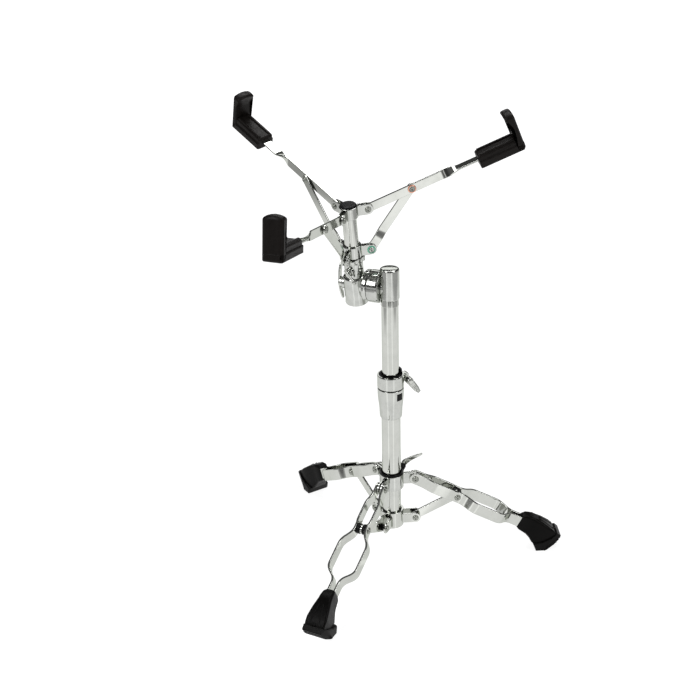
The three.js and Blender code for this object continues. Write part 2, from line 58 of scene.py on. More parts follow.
# ------------------------------------------------------------------ driving sizes, mm
HIP_HEIGHT = 118            # hip pivots, on the sliding collar
FOOT_HEIGHT = 57.5          # brace pivots, on the lower collar
HIP_RADIUS = 32             # both, from the axis of the tube
KNEE = 65                   # along a leg from the hip, and along a brace
LEG_DROP = math.asin((HIP_HEIGHT - FOOT_HEIGHT) / (2 * KNEE))
HEEL_ALONG = 203            # along a leg from the hip to the flat under the heel
HEEL_PAD = 12               # length of that flat
HEEL_UP = (HEEL_ALONG * math.sin(LEG_DROP) - HIP_HEIGHT) / math.cos(LEG_DROP)
CLAMP_YAW = math.radians(25)
COLLAR_SCREW_YAW = math.radians(55)
HEAD_REACH = 47             # from the tilt hinge's origin to the axis of the tube
POST_DATUM = 4.6            # from the tilt hinge to the zero of heights on the post
BASKET_REACH = 24           # hinge pins of the basket, from the axis of the post
UPPER_EARS = 99.7           # arm pins, up the post
LOWER_EARS = 42.7           # strut pins, up the post
ELBOW = 60                  # along an arm from its hub pin to the strut's pin
ARM_RISE = math.radians(17.5)
STRUT_RUN = ELBOW * math.cos(ARM_RISE)
STRUT_DROP = UPPER_EARS - LOWER_EARS + ELBOW * math.sin(ARM_RISE)
STRUT_LENGTH = math.hypot(STRUT_RUN, STRUT_DROP)
STRUT_LEAN = math.atan2(STRUT_RUN, STRUT_DROP)


# ------------------------------------------------------------------ places
def axes(origin, x, y, z):
    """The matrix of a local frame with these axes at origin, in metres."""
    turn = Matrix((x, y, z)).transposed().to_4x4()
    return Matrix.Translation(origin) @ turn


def upright(joint_name, flip=1, up=(0, 0, 1)):
    """A frame at a hinge: Y along the hinge, Z along up, X to the outside."""
    joint = JOINTS[joint_name]
    z = Vector(up)
    y = (Vector(joint["axis"]) * flip).normalized()
    return axes(joint["pos_m"], y.cross(z), y, z)


def about(axis, degrees=0.0, radians=0.0):
    """A turn about an axis, in degrees or in radians."""
    return Matrix.Rotation(math.radians(degrees) + radians, 4, axis)


def shift(x=0.0, y=0.0, z=0.0):
    """A move in millimetres."""
    return Matrix.Translation((x * MM, y * MM, z * MM))


def heading_angle(place, base):
    """The angle about Z of the frame base, in degrees, that the X of place points along."""
    x = base.to_3x3().inverted() @ place.to_3x3().col[0]
    return math.degrees(math.atan2(x.y, x.x))


TUBE_LOW, TUBE_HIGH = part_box("base_tube")
STAND = Matrix.Translation(((TUBE_LOW.x + TUBE_HIGH.x) / 2, (TUBE_LOW.y + TUBE_HIGH.y) / 2, 0))
CLAMP = STAND @ about("Z", radians=CLAMP_YAW)
POST_AXIS = Vector(JOINTS["basket_swivel"]["axis"])
HINGE_AXIS = Vector(JOINTS["basket_tilt"]["axis"])
HINGE_AT = Vector(JOINTS["basket_tilt"]["pos_m"])
HINGE = axes(HINGE_AT, HINGE_AXIS, Vector((0, 0, 1)).cross(HINGE_AXIS), Vector((0, 0, 1)))
HINGE_Z = HINGE_AT.z / MM
LEAN = axes(HINGE_AT, HINGE_AXIS, POST_AXIS.cross(HINGE_AXIS), POST_AXIS) @ shift(0, 0, POST_DATUM)
HEADING = {n: STAND @ upright(f"leg_{n}_hinge").to_3x3().to_4x4() for n in SIDES}
LEG = {n: upright(f"leg_{n}_hinge") @ about("Y", radians=LEG_DROP) for n in SIDES}
BRACE = {n: upright(f"brace_{n}_hinge") @ about("Y", radians=-LEG_DROP) for n in SIDES}
ARM_HINGE = {n: upright(f"arm_{n}_hinge", -1, POST_AXIS) for n in SIDES}
BASKET = {n: Matrix.Translation(LEAN.translation) @ ARM_HINGE[n].to_3x3().to_4x4() for n in SIDES}
ARM = {n: ARM_HINGE[n] @ about("Y", radians=-ARM_RISE) for n in SIDES}
STRUT = {n: upright(f"strut_{n}_hinge", -1, POST_AXIS)
         @ about("Y", radians=math.pi / 2 + STRUT_LEAN) for n in SIDES}


# ------------------------------------------------------------------ outlines
def arc(cx, cy, radius, start, end, steps):
    """Points on an arc; angles in degrees."""
    turns = [math.radians(start + (end - start) * i / steps) for i in range(steps + 1)]
    return [(cx + radius * math.cos(a), cy + radius * math.sin(a)) for a in turns]


def soften(points, radius, closed=True, steps=4):
    """Rounds the corners of an outline with short curves."""
    count = len(points)
    out = []
    for i, p in enumerate(points):
        if not closed and i in (0, count - 1):
            out.append(tuple(p))
            continue
        corner = Vector(p)
        back = Vector(points[i - 1]) - corner
        ahead = Vector(points[(i + 1) % count]) - corner
        turn = back.angle(ahead) if back.length * ahead.length > 1e-9 else math.pi
        if turn > math.radians(172):
            out.append(tuple(p))
            continue
        a = corner + back.normalized() * min(radius, back.length * 0.48)
        b = corner + ahead.normalized() * min(radius, ahead.length * 0.48)
        for k in range(steps + 1):
            t = k / steps
            out.append(tuple(a.lerp(corner, t).lerp(corner.lerp(b, t), t)))
    return out


def resample(points, spacing):
    """Adds points so that no step along an open path is longer than spacing."""
    out = [points[0]]
    for a, b in zip(points, points[1:]):
        steps = max(1, math.ceil(math.dist(a, b) / spacing))
        for k in range(1, steps + 1):
            out.append(tuple(u + (v - u) * k / steps for u, v in zip(a, b)))
    return out


def link(length, radius):
    """A bar outline with round ends at 0 and at length."""
    return arc(0, 0, radius, 90, 270, 16) + arc(length, 0, radius, -90, 90, 16)


def rounded_box(width, height, radius, steps=3):
    """A rounded rectangle round the origin, as a closed section."""
    w, h = width / 2, height / 2
    r = min(radius, w * 0.98, h * 0.98)
    out = []
    for sx, sy, start in ((1, 1, 0), (-1, 1, 90), (-1, -1, 180), (1, -1, 270)):
        out += arc(sx * (w - r), sy * (h - r), r, start, start + 90, steps)
    return out


# ------------------------------------------------------------------ solids
class Solid:
    """Vertices in millimetres and faces; solids add up and move."""

    def __init__(self, verts=(), faces=()):
        self.verts = [Vector(v) for v in verts]
        self.faces = [tuple(f) for f in faces]

    def __add__(self, other):
        base = len(self.verts)
        faces = self.faces + [tuple(i + base for i in f) for f in other.faces]
        return Solid(self.verts + other.verts, faces)

    def at(self, x=0.0, y=0.0, z=0.0):
        offset = Vector((x, y, z))
        return Solid([v + offset for v in self.verts], self.faces)

    def turned(self, axis, degrees):
        turn = Matrix.Rotation(math.radians(degrees), 3, axis)
        return Solid([turn @ v for v in self.verts], self.faces)


def lathe(profile, sides=64, soft=0.0):
    """Turns a (radius, height) outline about Z; open outlines end on the axis."""
    on_axis = profile[0][0] < 1e-6
    points = soften(profile, soft, closed=not on_axis) if soft else list(profile)
    verts, rows = [], []
    for r, h in points:
        if r < 1e-6:
            rows.append([len(verts)] * sides)
            verts.append((0, 0, h))
            continue
        rows.append([len(verts) + k for k in range(sides)])
        verts += [(r * math.cos(TAU * k / sides), r * math.sin(TAU * k / sides), h)
                  for k in range(sides)]
    pairs = list(zip(rows, rows[1:]))
    if not on_axis:
        pairs.append((rows[-1], rows[0]))
    faces = []
    for a, b in pairs:
        for k in range(sides):
            n = (k + 1) % sides
            quad = []
            for i in (a[k], a[n], b[n], b[k]):
                if i not in quad:
                    quad.append(i)
            if len(quad) > 2:
                faces.append(quad)
    return Solid(verts, faces)


def ring(outer, inner, bottom, top, sides=64, soft=0.4):
    """A plain tube along Z."""
    return lathe([(inner, bottom), (outer, bottom), (outer, top), (inner, top)], sides, soft)


def bar(axis, radius, start, end, sides=40, soft=0.5):
    """A straight round bar along X, Y or Z with eased ends."""
    r = min(soft, radius * 0.5, (end - start) * 0.4)
    profile = [(0, start), (radius - r, start), (radius - r * 0.3, start + r * 0.3),
               (radius, start + r), (radius, end - r), (radius - r * 0.3, end - r * 0.3),
               (radius - r, end), (0, end)]
    solid = lathe(profile, sides)
    if axis == "x":
        return solid.turned("Y", 90)
    if axis == "y":
        return solid.turned("X", -90)
    return solid


def skin(rows):
    """Joins equal rings of points into a closed tube with flat ends."""
    count = len(rows[0])
    verts = [p for row in rows for p in row]
    faces = []
    for i in range(len(rows) - 1):
        for k in range(count):
            n = (k + 1) % count
            faces.append((i * count + k, i * count + n, (i + 1) * count + n, (i + 1) * count + k))
    last = (len(rows) - 1) * count
    faces.append(tuple(reversed(range(count))))
    faces.append(tuple(last + k for k in range(count)))
    return Solid(verts, faces)


def inset(outline, amount):
    """Moves a counter-clockwise outline inwards by amount."""
    count = len(outline)
    out = []
    for i in range(count):
        p, a, b = Vector(outline[i]), Vector(outline[i - 1]), Vector(outline[(i + 1) % count])
        e1, e2 = p - a, b - p
        n1 = Vector((-e1.y, e1.x)).normalized()
        n2 = Vector((-e2.y, e2.x)).normalized()
        mean = n1 + n2
        if mean.length < 1e-6:
            mean = n1
        mean.normalize()
        scale = amount / max(mean.dot(n1), 0.5)
        out.append(tuple(p + mean * scale))
    return out


def wound(outline):
    """The same outline, counter-clockwise."""
    pairs = zip(outline, outline[1:] + outline[:1])
    twice_area = sum(a[0] * b[1] - b[0] * a[1] for a, b in pairs)
    return outline if twice_area > 0 else outline[::-1]


def slab(outline, bottom, top, edge=0.5, steps=3):
    """Extrudes an (x, y) outline along Z with rounded rims."""
    outline = wound(outline)
    rims = []
    for k in range(steps + 1):
        t = math.pi / 2 * k / steps
        rims.append((inset(outline, edge * (1 - math.sin(t))), edge * (1 - math.cos(t))))
    rows = [(rim, bottom + lift) for rim, lift in rims]
    rows += [(rim, top - lift) for rim, lift in reversed(rims)]
    return skin([[(x, y, z) for x, y in rim] for rim, z in rows])


def plate(outline, start, end, edge=0.5, steps=3):
    """Extrudes an (x, z) outline along Y with rounded rims."""
    return slab(outline, -end, -start, edge, steps).turned("X", 90)


def ribbon(path, section_at):
    """Sweeps a section along a plan path of (x, y); section points are (across, up)."""
    rows = []
    for i, (x, y) in enumerate(path):
        a = Vector(path[max(i - 1, 0)])
        b = Vector(path[min(i + 1, len(path) - 1)])
        run = (b - a).normalized()
        side = Vector((-run.y, run.x))
        rows.append([(x + side.x * u, y + side.y * u, v) for u, v in section_at(x)])
    return skin(rows)


def wedge(angles, section_at):
    """Sweeps (radius, height) sections round Z through these angles, in degrees."""
    rows = []
    for a in angles:
        c, s = math.cos(math.radians(a)), math.sin(math.radians(a))
        rows.append([(r * c, r * s, z) for r, z in section_at(a)])
    return skin(rows)


def across(outline, stations, trim):
    """Skins an (x, z) outline sideways; each station is (y, inset) and trim(x, z, |y|) rounds the plan."""
    rows = []
    for y, pull in stations:
        rows.append([(x, y, z) for x, z in (trim(*point, abs(y)) for point in inset(wound(outline), pull))])
    return skin(rows)


def round_end(radius, first, step):
    """Stations along the half-round end of a strap, before its pivot at 0."""
    return [-radius * math.cos(math.radians(a)) for a in range(first, 90, step)]


def half_width(radius, beyond):
    """Half the width of a round-ended strap at a distance beyond its pivot."""
    return radius if beyond <= 0 else math.sqrt(max(radius * radius - beyond * beyond, 0.2))


def rivet_head(radius, height):
    """A peened head standing on z = 0: a raised ring round a dimpled crown."""
    shape = [(1, 0.3), (0.88, 0.62), (0.78, 0.55), (0.66, 0.5), (0.6, 0.9), (0.5, 1), (0.36, 0.95),
             (0.24, 0.5), (0, 0.45)]
    crown = [(radius * r, height * h) for r, h in shape]
    return lathe([(0, -0.4), (radius, -0.4), *crown], 32)


def rivet(face, radius, height, shank):
    """A rivet along Y with a head beyond each face."""
    heads = rivet_head(radius, height).turned("X", -90).at(0, face, 0)
    heads += rivet_head(radius, height).turned("X", 90).at(0, -face, 0)
    return heads + bar("y", shank, -face, face, 24, 0.1)


# ------------------------------------------------------------------ materials
METAL_TINT = (0.72, 0.74, 0.7, 1)


def shader(name, metallic, colour, dark, rough, rough_span, bump, scale, grime, spec=0.5):
    """A procedural surface: mottled colour, smudged gloss, fine relief and worn edges."""
    material = bpy.data.materials.new(name)
    material.use_nodes = True
    tree = material.node_tree
    node = tree.nodes.new
    wire = tree.links.new
    surface = tree.nodes["Principled BSDF"]
    surface.inputs["Metallic"].default_value = metallic
    surface.inputs["Specular IOR Level"].default_value = spec
    if metallic == 1:
        surface.inputs["Specular Tint"].default_value = METAL_TINT

    place = node("ShaderNodeTexCoord")
    smudge = node("ShaderNodeTexNoise")
    smudge.inputs["Scale"].default_value = scale
    smudge.inputs["Detail"].default_value = 5
    smudge.inputs["Roughness"].default_value = 0.62
    wire(place.outputs["Object"], smudge.inputs["Vector"])

    tint = node("ShaderNodeMix")
    tint.data_type = "RGBA"
    tint.inputs["A"].default_value = (*colour, 1)
    tint.inputs["B"].default_value = (*dark, 1)
    spread = node("ShaderNodeMapRange")
    spread.inputs["From Min"].default_value = 0.42
    spread.inputs["From Max"].default_value = 0.75
    wire(smudge.outputs["Fac"], spread.inputs["Value"])
    wire(spread.outputs["Result"], tint.inputs["Factor"])

    worn = node("ShaderNodeNewGeometry")
    edge = node("ShaderNodeMapRange")
    edge.inputs["From Min"].default_value = 0.5
    edge.inputs["From Max"].default_value = 0.62
    edge.inputs["To Max"].default_value = grime
    wire(worn.outputs["Pointiness"], edge.inputs["Value"])
    rubbed = node("ShaderNodeMix")
    rubbed.data_type = "RGBA"
    rubbed.inputs["B"].default_value = (*[min(1, c * 1.5 + 0.02) for c in colour], 1)
    wire(edge.outputs["Result"], rubbed.inputs["Factor"])
    wire(tint.outputs["Result"], rubbed.inputs["A"])
    wire(rubbed.outputs["Result"], surface.inputs["Base Color"])

    gloss = node("ShaderNodeMapRange")
    gloss.inputs["From Min"].default_value = 0.3
    gloss.inputs["From Max"].default_value = 0.7
    gloss.inputs["To Min"].default_value = rough
    gloss.inputs["To Max"].default_value = rough + rough_span
    wire(smudge.outputs["Fac"], gloss.inputs["Value"])
    wire(gloss.outputs["Result"], surface.inputs["Roughness"])

    grain = node("ShaderNodeTexNoise")
    grain.inputs["Scale"].default_value = scale * 14
    grain.inputs["Detail"].default_value = 3
    wire(place.outputs["Object"], grain.inputs["Vector"])
    relief = node("ShaderNodeBump")
    relief.inputs["Strength"].default_value = bump
    relief.inputs["Distance"].default_value = 0.0002
    wire(grain.outputs["Fac"], relief.inputs["Height"])
    wire(relief.outputs["Normal"], surface.inputs["Normal"])
    return material


#       name, metallic, colour, darker patches, least roughness and span, relief, scale, wear, specular
CHROME = shader("bright_chrome", 1, (0.55, 0.56, 0.53), (0.49, 0.5, 0.47),
                0.035, 0.05, 0.02, 60, 0.1)
CAST = shader("cast_chrome", 1, (0.52, 0.53, 0.505), (0.43, 0.44, 0.42),
              0.06, 0.09, 0.1, 90, 0.15)
PIN = shader("rivet_steel", 1, (0.34, 0.35, 0.32), (0.22, 0.23, 0.21),
             0.16, 0.14, 0.15, 200, 0.3)
RUBBER = shader("black_rubber", 0, (0.007, 0.0055, 0.0048), (0.01, 0.008, 0.007),
                0.3, 0.14, 0.3, 120, 0.4, 0.1)
BOOT = shader("boot_rubber", 0, (0.0022, 0.002, 0.0018), (0.0036, 0.0032, 0.003),
              0.26, 0.14, 0.35, 120, 0.4, 0.06)
NYLON = shader("black_nylon", 0, (0.003, 0.003, 0.0034), (0.005, 0.005, 0.0055),
               0.3, 0.14, 0.2, 150, 0.4, 0.12)
GREEN = shader("green_washer", 0.35, (0.16, 0.52, 0.36), (0.1, 0.4, 0.27),
               0.28, 0.1, 0.1, 200, 0.3)
COPPER = shader("copper_washer", 1, (0.75, 0.36, 0.26), (0.62, 0.27, 0.19),
                0.2, 0.12, 0.1, 200, 0.3)


# ------------------------------------------------------------------ pieces
def mesh_of(name, solid, place):
    """The mesh of a solid in this place, in metres."""
    mesh = bpy.data.meshes.new(name)
    mesh.from_pydata([place @ (v * MM) for v in solid.verts], [], solid.faces)
    return mesh


def add_object(name, data):
    obj = bpy.data.objects.new(name, data)
    bpy.context.scene.collection.objects.link(obj)
    return obj


def piece(name, solid, place, body, material, stands_for="", sharp=55):
    """Makes one visible piece, rides it on a CAD body and hides the node it stands for."""
    mesh = mesh_of(name, solid, place)
    work = bmesh.new()
    work.from_mesh(mesh)
    bmesh.ops.remove_doubles(work, verts=work.verts, dist=1e-6)
    bmesh.ops.recalc_face_normals(work, faces=work.faces)
    for f in work.faces:
        f.smooth = True
    for e in work.edges:
        if len(e.link_faces) == 2 and e.calc_face_angle(0) > math.radians(sharp):
            e.smooth = False
    work.to_mesh(mesh)
    work.free()
    mesh.materials.append(material)
    obj = add_object(name, mesh)
    weights = obj.modifiers.new("flat_faces", "WEIGHTED_NORMAL")
    weights.keep_sharp = True
    weights.weight = 80
    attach(obj, body)
    if stands_for:
        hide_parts(stands_for)
    return obj


def fine(node, solid, place, body, material, sharp=55):
    """A finer shape of one CAD node."""
    return piece(f"{node}_fine", solid, place, body, material, node, sharp)


def carve(obj, solid, place):
    """Cuts a solid out of a piece at rest."""
    mesh = mesh_of("cutter", solid, place)
    work = bmesh.new()
    work.from_mesh(mesh)
    bmesh.ops.recalc_face_normals(work, faces=work.faces)
    work.to_mesh(mesh)
    work.free()
    cutter = add_object("cutter", mesh)
    cut = obj.modifiers.new("cut", "BOOLEAN")
    cut.operation = "DIFFERENCE"
    cut.solver = "EXACT"
    cut.object = cutter
    obj.modifiers.move(len(obj.modifiers) - 1, 0)
    bpy.context.view_layer.update()
    graph = bpy.context.evaluated_depsgraph_get()
    keep = obj.modifiers["flat_faces"]
    keep.show_viewport = False
    graph.update()
    result = bpy.data.meshes.new_from_object(obj.evaluated_get(graph))
    keep.show_viewport = True
    obj.modifiers.remove(cut)
    obj.data = result
    bpy.data.objects.remove(cutter)


def ear_pair(reach, height, radius, inner, outer, start):
    """A pair of hinge ears reaching out along X from a collar."""
    tip = arc(reach, height, radius, -90, 90, 20)
    outline = [(start, height - radius), *tip, (start, height + radius)]
    return plate(outline, inner, outer) + plate(outline, -outer, -inner)


def eared_collar(headings, base, **size):
    """A collar with a pair of ears toward each heading, in the frame base."""
    solid = ring(size["radius"], size["bore"], size["bottom"], size["top"], 80, size.get("soft", 0.8))
    for place in headings:
        pair = ear_pair(size["reach"], size["ear"], size["round"], size["inner"], size["outer"],
                        size["bore"] + 0.6)
        solid += pair.turned("Z", heading_angle(place, base))
    return solid


# ------------------------------------------------------------------ tubes and lower collar
def build_column():
    fine("base_tube", ring(12.7, 11.5, 47, 252, 96, 0.3), STAND, "base", CHROME)
    plug = lathe([(0, 44.5), (9, 44.5), (9.6, 45), (11.2, 44.6), (12.2, 44.9), (12.7, 45.7), (12.7, 46.6),
                  (11.2, 46.7), (11.2, 53), (0, 53)], 72)
    fine("tube_end_plug", plug, STAND, "base", NYLON)
    collar = eared_collar(HEADING.values(), STAND, reach=HIP_RADIUS, ear=FOOT_HEIGHT, round=7,
                          inner=5.5, outer=8, radius=16, bore=13, bottom=46.5, top=70.5)
    fine("lower_collar", collar, STAND, "base", CHROME)
    fine("upper_tube", ring(11.1, 9.7, 150, 420, 96, 0.3), STAND, "height_tube", CHROME)


# ------------------------------------------------------------------ height clamp
def wing_blade(length, root, tip, thick, ribs):
    """A tapered wing along X with cross ribs on both faces, lying in the XZ plane."""
    outline = soften([(0, -root), (length * 0.7, -tip * 1.15), (length, -tip * 0.55), (length, tip * 0.55),
                      (length * 0.7, tip * 1.15), (0, root)], 2.5, steps=6)
    blade = plate(outline, -thick / 2, thick / 2, thick * 0.4, 4)
    for k in range(ribs):
        x = length * (0.32 + 0.58 * k / max(ribs - 1, 1))
        half = (root + (tip - root) * x / length) * 0.72
        for side in (-1, 1):
            rib = bar("z", 0.55, -half, half, 12, 0.4)
            blade += rib.at(x, side * thick * 0.46, 0)
    return blade


def build_clamp():
    sleeve = lathe([(13, 214), (14.3, 214), (14.6, 214.6), (15, 217), (15.5, 228), (16.6, 238),
                    (17.2, 244), (17.5, 250), (17.5, 256), (17, 256.5), (13, 256.5)], 96, 0.25)
    sleeve_piece = fine("clamp_sleeve", sleeve, STAND, "base", CAST)
    slit = slab(rounded_box(10, 1.8, 0.2), 208, 222, 0.1)
    carve(sleeve_piece, slit, STAND @ about("Z", -96) @ shift(15))

    badge = soften([(16.9, 242.5), (17.6, 242.5), (18.0, 243.5), (18.1, 251.5), (17.7, 252.5),
                    (16.9, 252.5)], 0.3)
    piece("clamp_badge", wedge(range(-14, 15, 7), lambda a: badge), STAND @ about("Z", -47), "base", NYLON)

    liner = lathe([(11.5, 252.4), (12.7, 252.4), (12.7, 256.7), (16.6, 256.7), (16.6, 257.7), (15.3, 257.8),
                   (15.3, 276), (14.9, 276.5), (13.2, 276.6), (12.2, 276), (11.5, 275.6)], 80, 0.2)

    def tab(a):
        lift = 282.5 - (abs(a) / 24) ** 3 * 1.5
        return soften([(12.3, 275), (15.2, 275), (15.2, lift - 0.8), (14.6, lift), (12.9, lift),
                       (12.3, lift - 0.6)], 0.3)

    liner += wedge(range(-24, 25, 4), tab).turned("Z", 25)
    fine("clamp_liner", liner, STAND, "clamp_swivel", NYLON)

    shell = lathe([(15.6, 257.9), (17.4, 257.9), (17.8, 258.5), (17.8, 274.9), (17.3, 276), (15.6, 276)],
                  96, 0.3)
    lug = soften([(16.2, 259.5), (24.5, 259.5), (28, 263), (28, 269.5), (24.5, 273), (16.2, 273)], 2.5,
                 steps=6)
    ring_piece = fine("clamp_ring", shell + plate(lug, 1.5, 6.5, 0.8) + plate(lug, -6.5, -1.5, 0.8),
                      CLAMP, "base", CAST)
    carve(ring_piece, slab(rounded_box(8, 3, 0.2), 250, 280, 0.1), CLAMP @ shift(18))

    bolt_at = CLAMP @ shift(22, 0, 266)
    hexagon = [(4.6 * math.cos(TAU * k / 6), 4.6 * math.sin(TAU * k / 6)) for k in range(6)]
    head = slab(soften(hexagon, 0.4), 6.9, 10.4, 0.5).turned("X", -90)
    fine("clamp_bolt", head + bar("y", 2.9, -16.6, 7.5, 28), bolt_at, "base", CHROME)

    nut_at = bolt_at @ about("Y", 54)
    boss = lathe([(3.2, 6.9), (5, 6.9), (5, 9.5), (4.8, 14.4), (4.2, 15.5), (3.2, 15.5)], 40, 0.4)
    wing = wing_blade(21, 4.6, 3.4, 5.2, 7).at(2.8, -11.8, 0)
    fine("clamp_wing_nut", boss.turned("X", 90) + wing, nut_at, "clamp_nut", CAST)


# ------------------------------------------------------------------ sliding leg collar
def build_leg_collar():
    collar = eared_collar(HEADING.values(), STAND, reach=HIP_RADIUS, ear=HIP_HEIGHT, round=8,
                          inner=0.8, outer=3.4, radius=16.4, bore=14.6, bottom=106, top=127, soft=0.6)
    fine("upper_collar", collar, STAND, "leg_collar", CAST)
    at = STAND @ about("Z", radians=COLLAR_SCREW_YAW) @ shift(13, 0, 115.5) @ about("Y", -36)
    piece("collar_screw_boss", bar("x", 5.6, 2.2, 9.4, 40, 0.6), at, "leg_collar", CAST)
    # The nylon bush is a real part; its thin lip just below the collar's bottom edge (105.4 to 106.4) is
    # painted shade: a black band standing in for the shadow line between the collar and the tube.
    sleeve = lathe([(13.05, 105.4), (14.6, 105.4), (15.2, 105.9), (14.3, 106.4), (14.3, 127.3), (15.9, 127.3),
                    (15.9, 128.6), (15.3, 129.8), (13.8, 129.8), (13.05, 129)], 80, 0.2)
    fine("collar_bush", sleeve, STAND, "leg_collar", NYLON)

    shank = bar("x", 3, 4.9, 14, 28)
    grip = lathe([(0, 10), (5, 10), (5, 12), (4.4, 12.6), (5, 13.2), (5, 17), (4, 19), (0, 19)], 40,
                 0.4).turned("Y", 90)
    fine("collar_wing_bolt", shank + grip, at, "collar_screw", NYLON)
    side = soften([(-3, -3), (-1, 6), (2, 9), (14, 12.4), (27.5, 15), (29.5, 14), (28.6, 12), (14, 7),
                   (6, 2), (3, -3)], 2, steps=5)
    wing = plate(side, -1.4, 1.4, 0.7, 4)
    hold = at @ shift(16) @ about("Y", 36) @ about("Z", -37)
    piece("collar_bolt_wing", wing, hold, "collar_screw", CHROME)


# ------------------------------------------------------------------ legs
STRAP_LINE = [(-8, 5.2), (15, 5.2), (26, 9.4), (56, 9.4), (61, 8), (74, 8), (90, 19.5), (132, 19.5),
              (145.5, 4.6), (170, 4.6)]


def strap(side):
    """One bent leg strap: a rolled-edge strip, round at the hip."""
    line = soften(STRAP_LINE, 7, closed=False, steps=8)
    nose = [(x, 5.2) for x in round_end(8, 4, 12)]
    line = nose + resample([(0.4, 5.2)] + [p for p in line if p[0] > 0.5], 4)

    def section(x):
        return rounded_box(3, 2 * half_width(8, -x), 1.1, 4)

    return ribbon([(x, y * side) for x, y in line], section)


def sole_line():
    """The toothed rocker edge of the boot, from the heel pad up to the toe."""
    heel = Vector((HEEL_ALONG, HEEL_UP))
    pad = heel + HEEL_PAD * Vector((math.cos(LEG_DROP), math.sin(LEG_DROP)))
    toe = Vector((224, 8.3))
    out = toe - pad
    side = Vector((out.y, -out.x)).normalized()
    points = [tuple(heel), tuple(pad)]
    teeth, cuts = 7, 6
    for i in range(1, teeth * cuts):
        t = i / (teeth * cuts)
        wave = 0.55 if i % cuts in (2, 3, 4) else -0.75
        points.append(tuple(pad + out * t + side * (3.4 * math.sin(math.pi * t) + wave)))
    return points + [tuple(toe)]


def boot():
    """A moulded rubber boot: a lofted shank that flares into a toothed sole."""
    floor = -20.9
    #        along, low, high, half-width, corner
    stations = [(163, -8, 9, 5.2, 2.4), (163.7, -9, 10, 6.4, 3), (168, -11.2, 13.3, 8.3, 3.6),
                (175, -12.1, 15, 9.2, 3.8), (180, -12.9, 15, 9.7, 4), (186, -15.3, 14.9, 10.9, 4),
                (193, -19.8, 14.6, 12.3, 4), (200, -21.5, 13.3, 13.5, 3.6), (206, -22, 12.3, 14.4, 3.2),
                (212, -10, 10.6, 14.3, 2.8), (217, 0, 7.6, 14.2, 2.2)]
    rows = []
    for along, low_t, high_t, half, corner in stations:
        ring_points = rounded_box(2 * half, high_t - low_t, corner, 6)
        rows.append([(along, y, z + (low_t + high_t) / 2) for y, z in ring_points])
    shank = skin(rows)

    def corners(x, z, y):
        """Rounds the heel and the toe in plan and keeps the flanges off the floor."""
        heel_end = 192 + max(y - 14, 0) * 1.9
        toe_end = 226 - max(y - 13, 0) * 3.1
        if x <= toe_end:
            return max(x, heel_end), z
        steep = 1.2 + min(max((z + 21) / 30, 0), 1)
        return toe_end, max(z - steep * (x - toe_end), floor + 0.02 * (z - floor))

    upper_edge = [(217.8, 9.8), (212.8, 0.2), (204.8, -10.4), (194.8, -19.5)]
    sole_edge = sole_line() + soften(upper_edge, 1.2, closed=False)
    sides = [(-17.2, 1.1), (-16.9, 0.5), (-16.1, 0.1), (-13.5, 0), (-7, 0)]
    sole = across(sole_edge, sides + [(-y, pull) for y, pull in reversed(sides)], corners)
    ridges = Solid()
    for side in (-1, 1):
        ridge = bar("x", 1.1, 0, 24, 16, 0.7).turned("Z", side * 9).turned("Y", 11)
        ridges += ridge.at(188, side * 2.6, 15)
        rib = bar("x", 0.9, 0, 26, 16, 0.6).turned("Z", side * 8).turned("Y", 6)
        ridges += rib.at(176, side * 6.4, 14.6)
    nub = lathe([(0, 0), (2.6, 0), (2.4, 1.2), (1.6, 2), (0, 2.3)], 24).turned("Y", 40)
    return shank + sole + ridges + nub.at(214.5, 0, 8.4)


def build_legs():
    for name in SIDES:
        body = f"leg_{name}"
        for side, word in ((1, "left"), (-1, "right")):
            head = rivet_head(4.4, 1.5).turned("X", -90 * side).at(KNEE, 9.6 * side, 0)
            fine(f"leg_{name}_strap_{word}", strap(side), LEG[name], body, CHROME)
            piece(f"knee_rivet_{name}_{word}", head, LEG[name], body, PIN)
        fine(f"foot_{name}", boot(), LEG[name], body, BOOT, 40)
        hip = LEG[name] @ about("Y", radians=-LEG_DROP)
        fine(f"hip_rivet_{name}", rivet(6.9, 4.6, 1.6, 2.6), hip, "leg_collar", PIN)


# ------------------------------------------------------------------ braces
def bush(half, flange):
    """A flanged bush along Y; half is half its length."""
    return lathe([(2.9, half), (flange, half), (flange, 1.8), (4, 1.8), (4, -1.8), (flange, -1.8),
                  (flange, -half), (2.9, -half)], 40, 0.35).turned("X", 90)


def build_braces():
    for name in SIDES:
        body = f"brace_link_{name}"
        blade = plate(link(KNEE, 6.25), -1.5, 1.5, 0.7, 4)
        fine(f"brace_{name}", blade, BRACE[name], body, CHROME)
        fine(f"brace_bush_{name}", bush(5.2, 4.5), BRACE[name], body, NYLON)
        fine(f"knee_bush_{name}", bush(6.1, 7), BRACE[name] @ shift(KNEE), body, NYLON)
        foot = BRACE[name] @ about("Y", radians=LEG_DROP)
        fine(f"brace_rivet_{name}", rivet(8.2, 4.2, 1.5, 2.6), foot, "base", PIN)


